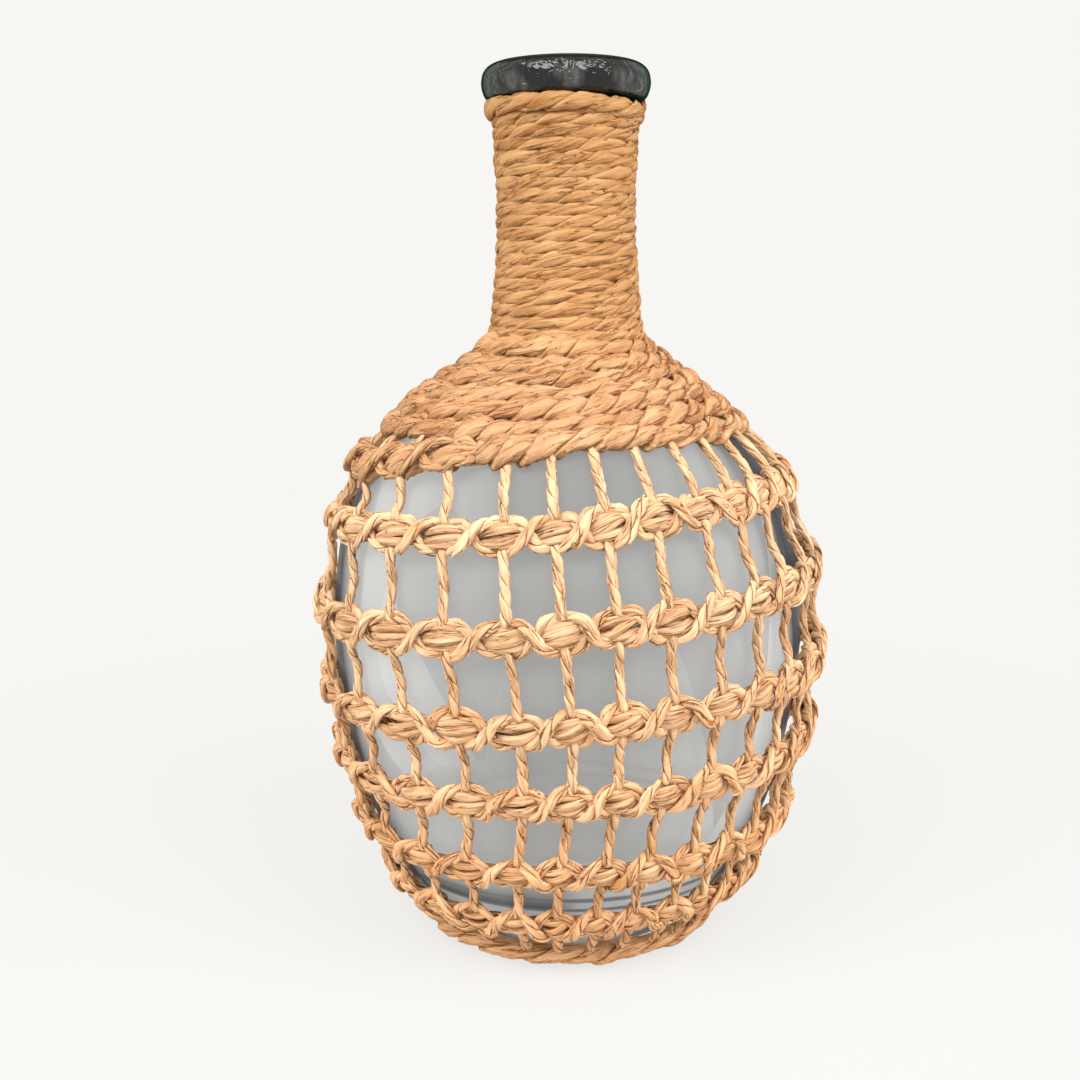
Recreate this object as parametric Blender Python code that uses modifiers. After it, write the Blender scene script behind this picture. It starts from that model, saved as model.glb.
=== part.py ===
# A round glass bottle with a tall neck, dressed in paper cord. One cord is wound round the neck,
# close rings of cord cover the shoulder, and an open net of upright cords and laced bands runs
# down the body to a cord ring at the heel.
# Metres, +Z up. The origin is the middle of the flat base that the bottle stands on.
# Angles run from the front, which faces -Y, towards +X.

import math

import bpy
import numpy as np

# The glass bottle
bottle_height = 0.373
body_radius = 0.1032
widest_height = 0.135
shoulder_top = 0.273
neck_radius = 0.0274
neck_waist = 0.0023
lip_radius = 0.0355
lip_height = 0.0155
base_radius = 0.044
glass_wall = 0.004
floor_thickness = 0.009
punt_radius = 0.026
punt_depth = 0.003

# The cords. Each clearance keeps a cord off what it lies on. The wrap is tucked up under the lip
# and fills the neck down to the shoulder rows, which start below the foot of the neck.
seat_gap = 0.0003
wrap_radius = 0.00222
wrap_turn_gap = 0.00045
wrap_seat_gap = 0.0006
wrap_tuck = 0.0002
row_radius = 0.0038
row_start = 0.0168
row_gap = 0.0001
row_lean = 0.0060
row_count = 7
last_row_drop = 0.0120
warp_row_gap = 0.0021
warp_radius = 0.00225
warp_seat_gap = 0.0006
band_lean = 0.0095
band_seat_gap = 0.0008
eye_half_height = 0.0042
eye_half_depth = 0.0022
lacing_radius = 0.0018
lacing_rise = 0.0076
lacing_pinch_gap = 0.0025
lacing_arc_gap = 0.0021
ring_radius = 0.0048
ring_lift = 0.0009
crossing_gap = 0.0007

# Outline of the glass, as (height share, radius share) pairs
lower_outline_shares = [(0.037, 0.177), (0.081, 0.300), (0.150, 0.446), (0.230, 0.566), (0.330, 0.680),
                        (0.450, 0.790), (0.590, 0.876), (0.750, 0.943), (1.000, 1.000)]
upper_outline_shares = [(0.230, 0.968), (0.326, 0.929), (0.410, 0.873), (0.490, 0.797), (0.565, 0.706),
                        (0.635, 0.598), (0.700, 0.468), (0.757, 0.328), (0.805, 0.204), (0.845, 0.116),
                        (0.885, 0.058), (0.930, 0.020), (1.000, 0.000)]
lip_outline_shares = [(0.030, 0.250), (0.070, 0.550), (0.140, 0.780), (0.300, 0.930), (0.520, 1.000),
                      (0.780, 0.900), (0.940, 0.620), (1.000, 0.250), (0.930, -0.170)]
neck_steps = 3
# Where the inner wall bends, as shares of its length from the floor to the lip
inner_bend_shares = [0.0, 0.11, 0.24, 0.37, 0.49, 0.59, 0.67, 0.72, 0.765, 0.87, 1.0]

# Sections of the net's cords, as shares of their own sizes
pinch_share = 0.42
lacing_flat_share = 0.5

# Places of the bands, as shares of the height up to the neck, and how far each leans, as a share
band_height_shares = [0.702, 0.570, 0.440, 0.326, 0.208, 0.112]
band_lean_shares = [0.86, 0.92, 0.86, 0.63, 0.24, 0.28]

# Degrees of the upright cords in front, as they stand in the hand-made net; the rest are even
front_warp_angles = [-75.0, -57.0, -41.3, -26.9, -13.0, -1.8, 9.6, 20.8, 32.8, 43.8, 54.4, 65.6]
back_warp_count = 16

# Where the last row hangs below its even place, in degrees from the front, and how far, as shares
drop_angles = [-180.0, -140.0, -105.0, -64.0, -45.0, -30.0, -20.0, -7.0, 9.0, 38.0, 95.0, 130.0, 180.0]
last_row_drop_shares = [0.00, 0.25, 0.83, 1.00, 0.58, 0.32, 0.17, 0.03, 0.00, 0.24, 0.42, 0.25, 0.00]

# How far the upright cords stray at the shoulder, at each band and at the heel: all of them round
# to one side, and each towards the sides of the bottle, as shares of an angle in degrees
stray_angle = 5.0
turn_stray_shares = [-0.90, -0.40, -0.06, 0.26, 0.20, -0.30, -0.60, -0.60]
side_stray_shares = [1.00, 0.00, -0.20, -0.70, -1.10, -0.70, -0.40, 0.00]

# Finishes
glass_colour = (0.36, 0.39, 0.38)
neck_colour = (0.53, 0.33, 0.17)
row_colour = (0.56, 0.36, 0.19)
upright_colour = (0.62, 0.42, 0.24)
core_colour = (0.60, 0.40, 0.22)
lacing_colour = (0.64, 0.43, 0.25)
ring_colour = (0.50, 0.31, 0.16)
glass_roughness = 0.08
glass_see_through = 0.6
cord_roughness = 0.8

# How finely shapes are drawn. A lane's slope is taken over slope_reach samples to either side.
glass_steps = 28
points_per_turn = 20
samples = 1200
slope_reach = 13
merge_distance = 0.00001
mm_per_metre = 1000

parts = None
guides = None


def clear_scene():
    for thing in list(bpy.data.objects):
        bpy.data.objects.remove(thing, do_unlink=True)


def make_collection(name):
    collection = bpy.data.collections.new(name)
    bpy.context.scene.collection.children.link(collection)
    return collection


def finish_piece(thing, colour, roughness=cord_roughness, see_through=0.0):
    material = bpy.data.materials.new(thing.name + "_finish")
    material.use_nodes = True
    shader = material.node_tree.nodes["Principled BSDF"]
    shader.inputs["Base Color"].default_value = (*colour, 1.0)
    shader.inputs["Roughness"].default_value = roughness
    shader.inputs["Metallic"].default_value = 0.0
    shader.inputs["Transmission Weight"].default_value = see_through
    material.diffuse_color = (*colour, 1.0)
    thing.data.materials.append(material)
    parts.objects.link(thing)
    return thing


def outer_outline():
    # Up the outside, from the edge of the base to the inner edge of the lip
    neck_top = bottle_height - lip_height
    points = [(base_radius, 0.0)]
    for rise, reach in lower_outline_shares:
        points.append((base_radius + (body_radius - base_radius) * reach, widest_height * rise))
    for rise, reach in upper_outline_shares:
        height = widest_height + (shoulder_top - widest_height) * rise
        points.append((neck_radius + (body_radius - neck_radius) * reach, height))
    for step in range(1, neck_steps + 1):
        share = step / neck_steps
        waist = neck_waist * math.sin(math.pi * share)
        points.append((neck_radius - waist, shoulder_top + (neck_top - shoulder_top) * share))
    for rise, reach in lip_outline_shares:
        points.append((neck_radius + (lip_radius - neck_radius) * reach, neck_top + lip_height * rise))
    return np.array(points)


class Lane:
    # A line up the outside of the glass at a set distance from it, measured by its own length
    def __init__(self, out):
        outline = outer_outline()
        widest_lip = len(outline) - len(lip_outline_shares)
        outline = outline[:widest_lip]
        lengths = np.concatenate([[0.0], np.cumsum(np.hypot(*np.diff(outline, axis=0).T))])
        places = np.linspace(0.0, lengths[-1], samples)
        radii = np.interp(places, lengths, outline[:, 0])
        heights = np.interp(places, lengths, outline[:, 1])
        spread = np.arange(samples)
        above = np.clip(spread + slope_reach, 0, samples - 1)
        below = np.clip(spread - slope_reach, 0, samples - 1)
        run = radii[above] - radii[below]
        climb = heights[above] - heights[below]
        size = np.hypot(run, climb)
        self.slopes = np.arctan2(-run, climb)
        self.radii = radii + out * climb / size
        self.heights = heights - out * run / size
        steps = np.hypot(np.diff(self.radii), np.diff(self.heights))
        self.lengths = np.concatenate([[0.0], np.cumsum(steps)])

    def length_at(self, height):
        return float(np.interp(height, self.heights, self.lengths))

    def at(self, length):
        radius = float(np.interp(length, self.lengths, self.radii))
        return radius, float(np.interp(length, self.lengths, self.heights))

    def nearest(self, radius, height):
        away = np.hypot(self.radii - radius, self.heights - height)
        return float(self.lengths[np.argmin(away)])

    def slope_at(self, length):
        return float(np.interp(length, self.lengths, self.slopes))

    def beside(self, length, out):
        # A distance out from this line, square to the glass
        radius, height = self.at(length)
        slope = self.slope_at(length)
        return radius + out * math.cos(slope), height + out * math.sin(slope)


def around(place, angle):
    radius, height = place
    return (radius * math.sin(angle), -radius * math.cos(angle), height)


def tube(name, points, radius, closed, resolution=1, radii=None, tilts=None, section=None):
    curve = bpy.data.curves.new(name, "CURVE")
    curve.dimensions = "3D"
    curve.twist_mode = "Z_UP"
    spline = curve.splines.new("POLY")
    spline.points.add(len(points) - 1)
    for index, point in enumerate(points):
        spline.points[index].co = (*point, 1.0)
        spline.points[index].radius = 1.0 if radii is None else radii[index]
        spline.points[index].tilt = 0.0 if tilts is None else tilts[index]
    spline.use_cyclic_u = closed
    spline.use_smooth = True
    if section is None:
        curve.bevel_depth = radius
        curve.bevel_resolution = resolution
    else:
        curve.bevel_mode = "OBJECT"
        curve.bevel_object = section
    curve.use_fill_caps = not closed
    return bpy.data.objects.new(name, curve)


def make_section(name, corners):
    # A cord's own section, with X out from the bottle and Y up it
    curve = bpy.data.curves.new(name, "CURVE")
    curve.dimensions = "2D"
    curve.fill_mode = "NONE"
    spline = curve.splines.new("POLY")
    spline.points.add(len(corners) - 1)
    for index, corner in enumerate(corners):
        spline.points[index].co = (*corner, 0.0, 1.0)
    spline.use_cyclic_u = True
    section = bpy.data.objects.new(name, curve)
    section.hide_render = True
    section.display_type = "WIRE"
    guides.objects.link(section)
    return section


def glass_profile():
    # From the middle of the floor inside, up and over the lip, and down the outside to the punt
    outer = outer_outline()
    inside = Lane(-glass_wall)
    low = inside.length_at(floor_thickness + glass_wall)
    high = inside.length_at(bottle_height - lip_height)
    profile = [(0.0, floor_thickness)]
    corner_radius, corner_height = inside.at(low)
    profile.append((corner_radius - glass_wall, floor_thickness))
    for share in inner_bend_shares:
        profile.append(inside.at(low + (high - low) * share))
    profile.extend([tuple(point) for point in outer[::-1]])
    profile.append((punt_radius, 0.0))
    profile.append((punt_radius - punt_depth, punt_depth))
    profile.append((0.0, punt_depth))
    return profile


def make_glass():
    profile = glass_profile()
    mesh = bpy.data.meshes.new("glass_bottle")
    corners = [(radius, 0.0, height) for radius, height in profile]
    mesh.from_pydata(corners, [(k, k + 1) for k in range(len(corners) - 1)], [])
    bottle = bpy.data.objects.new("glass_bottle", mesh)
    turn = bottle.modifiers.new("Turn", "SCREW")
    turn.axis = "Z"
    turn.angle = math.tau
    turn.steps = glass_steps
    turn.render_steps = glass_steps
    turn.use_merge_vertices = True
    turn.merge_threshold = merge_distance
    turn.use_smooth_shade = True
    finish_piece(bottle, glass_colour, glass_roughness, glass_see_through)


def row_length(rows, row, angle):
    # Down the glass from the foot of the neck. Each lower row leans a little more, up towards +X,
    # and the last one hangs lower on the left.
    row_pitch = 2 * row_radius + row_gap + row_lean / (row_count - 1)
    lean = row_lean * row / (row_count - 1)
    length = rows.length_at(shoulder_top) - row_start - row_pitch * row + lean * math.sin(angle)
    if row == row_count - 1:
        turn = (math.degrees(angle) + 180.0) % 360.0 - 180.0
        length -= last_row_drop * float(np.interp(turn, drop_angles, last_row_drop_shares))
    return length


def make_shoulder_rows():
    rows = Lane(seat_gap + row_radius)
    for row in range(row_count):
        angles = [math.tau * step / glass_steps for step in range(glass_steps)]
        points = [around(rows.at(row_length(rows, row, angle)), angle) for angle in angles]
        finish_piece(tube(f"shoulder_row_{row + 1}", points, row_radius, True), row_colour)


def least_gap(points, radius):
    # Between turns, from point to point, leaving out the neighbours along the cord itself
    places = np.array(points)
    nearest = math.inf
    for index in range(len(places) - points_per_turn // 2):
        later = places[index + points_per_turn // 2:]
        nearest = min(nearest, float(np.min(np.linalg.norm(later - places[index], axis=1))))
    return nearest - 2 * radius


def make_neck_wrap():
    lane = Lane(wrap_seat_gap + wrap_radius)
    rows = Lane(seat_gap + row_radius)
    top = lane.length_at(bottle_height - lip_height + wrap_tuck - wrap_radius)
    first_row = lane.nearest(*rows.at(row_length(rows, 0, 0.0)))
    run = top - first_row - row_radius - crossing_gap - wrap_radius
    turn_count = int(run // (2 * wrap_radius + wrap_turn_gap))
    # The winding starts and ends at the back, each end running straight for one cord's thickness
    points = []
    for step in range(turn_count * points_per_turn + 1):
        turns = step / points_per_turn
        points.append(around(lane.at(top - run * turns / turn_count), math.pi + math.tau * turns))
    start, end = points[0], points[-1]
    before = (start[0] + 2 * wrap_radius, start[1], start[2])
    after = (end[0] - 2 * wrap_radius, end[1], end[2])
    points = [before] + points + [after]
    print("neck wrap, turns:", turn_count)
    print("neck wrap, least gap to itself in mm:", mm_per_metre * least_gap(points, wrap_radius))
    finish_piece(tube("neck_wrap", points, wrap_radius, False), neck_colour)


def warp_angles(stop):
    # A stop is the shoulder, one of the bands or the heel
    first, last = front_warp_angles[0], front_warp_angles[-1]
    spacing = (first + 360.0 - last) / (back_warp_count + 1)
    angles = front_warp_angles + [last + spacing * (k + 1) for k in range(back_warp_count)]
    strayed = []
    for angle in angles:
        sideways = turn_stray_shares[stop] + side_stray_shares[stop] * math.sin(math.radians(angle))
        strayed.append(math.radians(angle + stray_angle * sideways))
    return strayed


def ring_place():
    # Clear of the surface that the bottle stands on
    lane = Lane(seat_gap + ring_radius)
    return lane.at(lane.length_at(ring_radius + ring_lift))


def make_warps():
    lane = Lane(warp_seat_gap + warp_radius)
    rows = Lane(seat_gap + row_radius)
    skin = Lane(0.0)
    foot = lane.nearest(*ring_place()) + ring_radius + crossing_gap
    band_count = len(band_height_shares)
    angles_by_stop = [warp_angles(stop) for stop in range(band_count + 2)]
    for number, angles in enumerate(zip(*angles_by_stop)):
        lowest_row = rows.at(row_length(rows, row_count - 1, angles[0]))
        lengths = [lane.nearest(*lowest_row) - row_radius - warp_row_gap]
        for band in range(band_count):
            lengths.append(lane.nearest(*skin.at(band_length(skin, band, angles[band + 1]))))
        lengths.append(foot)
        # A point at each stop and one halfway to the next
        stops = list(zip(lengths, angles))
        route = [stops[0]]
        for upper, lower in zip(stops, stops[1:]):
            route.extend([((upper[0] + lower[0]) / 2, (upper[1] + lower[1]) / 2), lower])
        points = [around(lane.at(length), angle) for length, angle in route]
        piece = tube(f"warp_{number + 1:02d}", points, warp_radius, False, resolution=0)
        finish_piece(piece, upright_colour)


def band_length(skin, band, angle):
    lean = band_lean * band_lean_shares[band] * math.sin(angle)
    return skin.length_at(shoulder_top * band_height_shares[band] + lean)


def band_angles(band):
    # Every upright cord and every place halfway to the next one
    uprights = warp_angles(band + 1)
    angles = []
    for index, angle in enumerate(uprights):
        following = uprights[(index + 1) % len(uprights)]
        if following < angle:
            following += math.tau
        angles.extend([angle, (angle + following) / 2])
    return angles


def make_bands():
    # Each core is a diamond in section, full at every upright cord and pinched between them. The
    # two lacings of a band zigzag from above an eye to below the next and cross at each pinch.
    skin = Lane(0.0)
    flat = lacing_radius * lacing_flat_share
    bundle = make_section("bundle_section", [(eye_half_depth, 0.0), (0.0, -eye_half_height),
                                             (-eye_half_depth, 0.0), (0.0, eye_half_height)])
    half_width = math.sqrt(lacing_radius ** 2 - flat ** 2)
    strand_section = make_section("strand_section", [(lacing_radius, 0.0), (-flat, -half_width),
                                                     (-flat, half_width)])
    warp_top = warp_seat_gap + 2 * warp_radius
    eye_out = warp_top + crossing_gap + eye_half_depth
    pinch_depth = eye_half_depth * pinch_share
    pinch_out = band_seat_gap + pinch_depth
    arc_out = warp_top + lacing_arc_gap + flat
    under_out = pinch_out + pinch_depth + lacing_pinch_gap + flat
    over_out = under_out + lacing_radius + crossing_gap + flat
    for band in range(len(band_height_shares)):
        angles = band_angles(band)
        core, tilts, scales = [], [], []
        lacings = {"a": [], "b": []}
        for index, angle in enumerate(angles):
            length = band_length(skin, band, angle)
            at_eye = index % 2 == 0
            core.append(around(skin.beside(length, eye_out if at_eye else pinch_out), angle))
            scales.append(1.0 if at_eye else pinch_share)
            # Turned about its own length so that the section stands square to the glass
            tilts.append(-skin.slope_at(length))
            for strand, points in lacings.items():
                rising = (index // 2 + (strand == "b")) % 2 == 0
                if at_eye:
                    shift = -lacing_rise if rising else lacing_rise
                    points.append(around(skin.beside(length + shift, arc_out), angle))
                else:
                    points.append(around(skin.beside(length, over_out if rising else under_out), angle))
        name = f"band_{band + 1}"
        piece = tube(name + "_core", core, 0.0, True, radii=scales, tilts=tilts, section=bundle)
        finish_piece(piece, core_colour)
        for strand, points in lacings.items():
            piece = tube(f"{name}_lacing_{strand}", points, 0.0, True, tilts=tilts, section=strand_section)
            finish_piece(piece, lacing_colour)


def make_base_ring():
    angles = [math.tau * step / glass_steps for step in range(glass_steps)]
    points = [around(ring_place(), angle) for angle in angles]
    finish_piece(tube("base_ring", points, ring_radius, True), ring_colour)


clear_scene()
parts = make_collection("rope_net_bottle")
guides = make_collection("guides")

make_glass()
make_shoulder_rows()
make_neck_wrap()
make_warps()
make_bands()
make_base_ring()
print("pieces:", len(parts.objects))
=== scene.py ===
import math

import bmesh
import bpy
import numpy as np
from mathutils import Euler, Matrix, Vector


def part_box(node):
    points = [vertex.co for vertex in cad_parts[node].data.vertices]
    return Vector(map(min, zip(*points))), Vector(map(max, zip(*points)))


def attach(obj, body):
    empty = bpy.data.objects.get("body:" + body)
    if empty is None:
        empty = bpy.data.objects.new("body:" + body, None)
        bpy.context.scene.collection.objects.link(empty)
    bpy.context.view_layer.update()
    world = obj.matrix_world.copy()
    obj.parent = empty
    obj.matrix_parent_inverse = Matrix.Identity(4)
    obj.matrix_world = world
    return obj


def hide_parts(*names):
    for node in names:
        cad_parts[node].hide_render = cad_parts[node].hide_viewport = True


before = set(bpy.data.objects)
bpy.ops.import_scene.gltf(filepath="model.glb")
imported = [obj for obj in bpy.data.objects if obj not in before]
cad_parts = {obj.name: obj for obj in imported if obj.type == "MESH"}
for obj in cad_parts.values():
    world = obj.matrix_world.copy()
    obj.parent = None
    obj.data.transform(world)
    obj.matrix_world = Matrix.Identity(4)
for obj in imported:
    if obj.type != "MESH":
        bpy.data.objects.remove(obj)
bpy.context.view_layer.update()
print("frame loaded, nodes:", len(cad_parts))

# Metres, +Z up, the base on z = 0. Angles run from the front (-Y) towards +X, lengths run up the glass.

bottle = {
    "height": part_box("glass_bottle")[1].z,
    "body": 0.1032,
    "widest": 0.135,
    "neckFoot": 0.273,
    "neck": 0.0274,
    "waist": 0.0023,
    "lip": 0.0355,
    "lipHeight": 0.0155,
    "base": 0.044,
    "wall": 0.004,
    "floor": 0.009,
    "punt": 0.026,
    "puntDepth": 0.003,
    "lowerShares": [(0.037, 0.177), (0.081, 0.300), (0.150, 0.446), (0.230, 0.566), (0.330, 0.680),
                    (0.450, 0.790), (0.590, 0.876), (0.750, 0.943), (1.000, 1.000)],
    "upperShares": [(0.230, 0.968), (0.326, 0.929), (0.410, 0.873), (0.490, 0.797), (0.565, 0.706),
                    (0.635, 0.598), (0.700, 0.468), (0.757, 0.328), (0.805, 0.204), (0.845, 0.116),
                    (0.885, 0.058), (0.930, 0.020), (1.000, 0.000)],
    "neckSteps": 3,
    "lipShares": [(0.030, 0.250), (0.070, 0.550), (0.140, 0.780), (0.300, 0.930), (0.520, 1.000),
                  (0.780, 0.900), (0.940, 0.620), (1.000, 0.250), (0.930, -0.170)],
    # how the inside runs into the mouth and the floor, and the outside under the base
    "mouthOut": 0.0004,
    "mouthDrop": 0.010,
    "floorShares": (0.6, 0.93),
    "floorRise": 0.0006,
    "puntShares": (0.6, 0.8),
    "puntEdge": 0.0004,
    "baseFlat": 0.002,
    "lipSeam": 0.002,
    "outerSteps": 110,
    "lipSteps": 40,
    "innerSteps": 90,
    "mouthSteps": 14,
    "floorSteps": 24,
    "underSteps": 30,
    "spinSteps": 144,
}


# Lines and swings for the paths

drawing = {
    # points between two knots, up the glass and round it, and the steps from one upright to the next
    "curveSteps": 24,
    "laneSamples": 1600,
    "roundSamples": 2400,
    "stepSize": 0.01,
    "slopeReach": 10,
    "mergeDistance": 0.00001,
}


def runAlong(points):
    # how far along a line each of its points lies
    return np.concatenate([[0], np.cumsum(np.linalg.norm(np.diff(points, axis=0), axis=1))])


def resample(places, run, columns):
    return np.column_stack([np.interp(places, run, column) for column in columns])


def softLine(knots, count):
    # a smooth line through the knots, evenly stepped by length
    knots = np.array(knots, float)
    padded = np.vstack([2 * knots[0] - knots[1], knots, 2 * knots[-1] - knots[-2]])
    fine = []
    for a, b, c, d in zip(padded, padded[1:], padded[2:], padded[3:]):
        for t in np.linspace(0, 1, drawing["curveSteps"], endpoint=False):
            bend = (2 * a - 5 * b + 4 * c - d) * t ** 2 + (3 * b - a - 3 * c + d) * t ** 3
            fine.append(b + 0.5 * ((c - a) * t + bend))
    fine.append(knots[-1])
    fine = np.array(fine)
    run = runAlong(fine)
    return resample(np.linspace(0, run[-1], count), run, fine.T)


def smoothed(values, reach):
    # each value becomes the mean of those around it
    window = np.ones(2 * reach + 1) / (2 * reach + 1)
    return np.convolve(np.pad(values, reach, mode="edge"), window, "valid")


def glassOutline():
    # up the outside to the neck's top, and then round the lip
    neckTop = bottle["height"] - bottle["lipHeight"]
    base, body, neck = bottle["base"], bottle["body"], bottle["neck"]
    points = [(base, 0.0)]
    for rise, reach in bottle["lowerShares"]:
        points.append((base + (body - base) * reach, bottle["widest"] * rise))
    for rise, reach in bottle["upperShares"]:
        height = bottle["widest"] + (bottle["neckFoot"] - bottle["widest"]) * rise
        points.append((neck + (body - neck) * reach, height))
    for step in range(1, bottle["neckSteps"] + 1):
        share = step / bottle["neckSteps"]
        height = bottle["neckFoot"] + (neckTop - bottle["neckFoot"]) * share
        points.append((neck - bottle["waist"] * math.sin(math.pi * share), height))
    lip = []
    for rise, reach in bottle["lipShares"]:
        lip.append((neck + (bottle["lip"] - neck) * reach, neckTop + bottle["lipHeight"] * rise))
    return points, lip


class Lane:
    # a line up the glass at a set distance from it, measured by its own length
    def __init__(self, out):
        body, _ = glassOutline()
        line = softLine(body, drawing["laneSamples"])
        run = smoothed(np.gradient(line[:, 0]), drawing["slopeReach"])
        climb = smoothed(np.gradient(line[:, 1]), drawing["slopeReach"])
        size = np.hypot(run, climb)
        self.outward = climb / size
        self.upward = -run / size
        self.radii = line[:, 0] + out * self.outward
        self.heights = line[:, 1] + out * self.upward
        steps = np.hypot(np.diff(self.radii), np.diff(self.heights))
        self.lengths = np.concatenate([[0], np.cumsum(steps)])

    def lengthAt(self, height):
        return np.interp(height, self.heights, self.lengths)

    def nearest(self, radius, height):
        return self.lengths[np.argmin(np.hypot(self.radii - radius, self.heights - height))]

    def place(self, length, angle, out=0.0):
        # points in space, and the way out from the glass at each
        outward = np.interp(length, self.lengths, self.outward)
        upward = np.interp(length, self.lengths, self.upward)
        radius = np.interp(length, self.lengths, self.radii) + out * outward
        height = np.interp(length, self.lengths, self.heights) + out * upward
        sine = np.sin(angle)
        cosine = np.cos(angle)
        spots = np.column_stack([radius * sine, -radius * cosine, height + 0 * sine])
        normals = np.column_stack([outward * sine, -outward * cosine, upward + 0 * sine])
        return spots, normals

    def spot(self, length, angle):
        # one point, as its radius and height
        spots, _ = self.place(np.array([float(length)]), np.array([float(angle)]))
        return math.hypot(spots[0][0], spots[0][1]), spots[0][2]


skin = Lane(0.0)


def wander(run, step, amount, random, closed=False, columns=None):
    # slow random swings along a run, in one column or several
    count = max(4, int(round((run[-1] - run[0]) / step)))
    values = random.uniform(-1, 1, (count + 1, columns or 1))
    if closed:
        values[-1] = values[0]
    where = (run - run[0]) / (run[-1] - run[0]) * count
    low = np.clip(where.astype(int), 0, count - 1)
    share = (where - low)[:, None]
    share = share * share * (3 - 2 * share)
    swings = amount * (values[low] * (1 - share) + values[low + 1] * share)
    return swings if columns else swings[:, 0]


def easing(where, knots, values):
    # level at each knot and smooth between, for cords that go over and under
    knots = np.array(knots)
    values = np.array(values)
    index = np.clip(np.searchsorted(knots, where) - 1, 0, len(knots) - 2)
    share = np.clip((where - knots[index]) / (knots[index + 1] - knots[index]), 0, 1)
    share = 0.5 - 0.5 * np.cos(math.pi * share)
    return values[index] * (1 - share) + values[index + 1] * share


# Rope

ropeBasics = {
    "grain": 0.0011,
    # round one of two plies, in degrees, with the depth of its edge as a share of the radius
    "plyPlaces": [0, 7, 17, 34, 58, 86, 112, 136, 156, 170],
    "plyDepths": [0.42, 0.10, 0.0, 0.0, 0.01, 0.04, 0.10, 0.18, 0.28, 0.37],
    # the painted shade in the groove at each of these places
    "plyGrooveShade": [1.0, 0.30, 0.0, 0.0, 0.0, 0.0, 0.0, 0.05, 0.2, 0.65],
    # round a folded strip of paper, and how its painted groove shade falls off towards the front
    "stripPlaces": [0, 22, 48, 75, 100, 130, 165, 200, 228, 255, 285, 325],
    "stripRadii": [1.0, 0.97, 0.74, 0.95, 0.80, 1.0, 0.88, 1.0, 0.76, 0.96, 0.78, 1.0],
    "stripShade": 0.75,
    "stripFall": 1.6,
    # lengths between the swings in thickness, turn, plies, ridges and tone
    "swellStep": 0.012,
    "slipStep": 0.6,
    "leafStep": 0.013,
    "ridgeStep": 0.008,
    "toneStep": 0.03,
    "toneSwing": 0.5,
    "plyTone": 0.4,
    "fibreStart": 5,
    "tipShare": 0.02,
    "endSides": 40,
}


def makeSection(kind):
    # what a rope is drawn with, wound so that its faces look outwards
    if kind == "strip":
        angles = np.radians(ropeBasics["stripPlaces"])
        radii = np.array(ropeBasics["stripRadii"])
        grooves = np.zeros(len(angles))
        plies = np.zeros(len(angles), int)
    else:
        depths = np.array(ropeBasics["plyDepths"])
        places = np.radians(ropeBasics["plyPlaces"])
        angles = np.concatenate([places, places + math.pi])
        radii = 1 - np.concatenate([depths, depths])
        grooves = np.array(ropeBasics["plyGrooveShade"] * 2)
        plies = (angles >= math.pi).astype(int)
    curve = bpy.data.curves.new("section_" + kind, "CURVE")
    curve.dimensions = "2D"
    curve.fill_mode = "NONE"
    spline = curve.splines.new("POLY")
    spline.points.add(len(angles) - 1)
    for point, angle, radius in zip(spline.points, angles, radii):
        point.co = (radius * math.cos(-angle), radius * math.sin(-angle), 0, 1)
    spline.use_cyclic_u = True
    return bpy.data.objects.new("section_" + kind, curve), angles, grooves, plies


sections = {kind: makeSection(kind) for kind in ("2ply", "strip")}


def placeThing(name, data):
    thing = bpy.data.objects.new(name, data)
    bpy.context.scene.collection.objects.link(thing)
    return thing


def sweepTube(path, radii, tilts, section, closed):
    curve = bpy.data.curves.new("tube", "CURVE")
    curve.dimensions = "3D"
    curve.twist_mode = "MINIMUM"
    spline = curve.splines.new("POLY")
    spline.points.add(len(path) - 1)
    spline.points.foreach_set("co", np.column_stack([path, np.ones(len(path))]).ravel())
    spline.points.foreach_set("radius", radii)
    spline.points.foreach_set("tilt", tilts)
    spline.use_cyclic_u = closed
    curve.bevel_mode = "OBJECT"
    curve.bevel_object = section
    thing = placeThing("tube", curve)
    mesh = bpy.data.meshes.new_from_object(thing.evaluated_get(bpy.context.evaluated_depsgraph_get()))
    bpy.data.objects.remove(thing)
    return mesh


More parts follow.
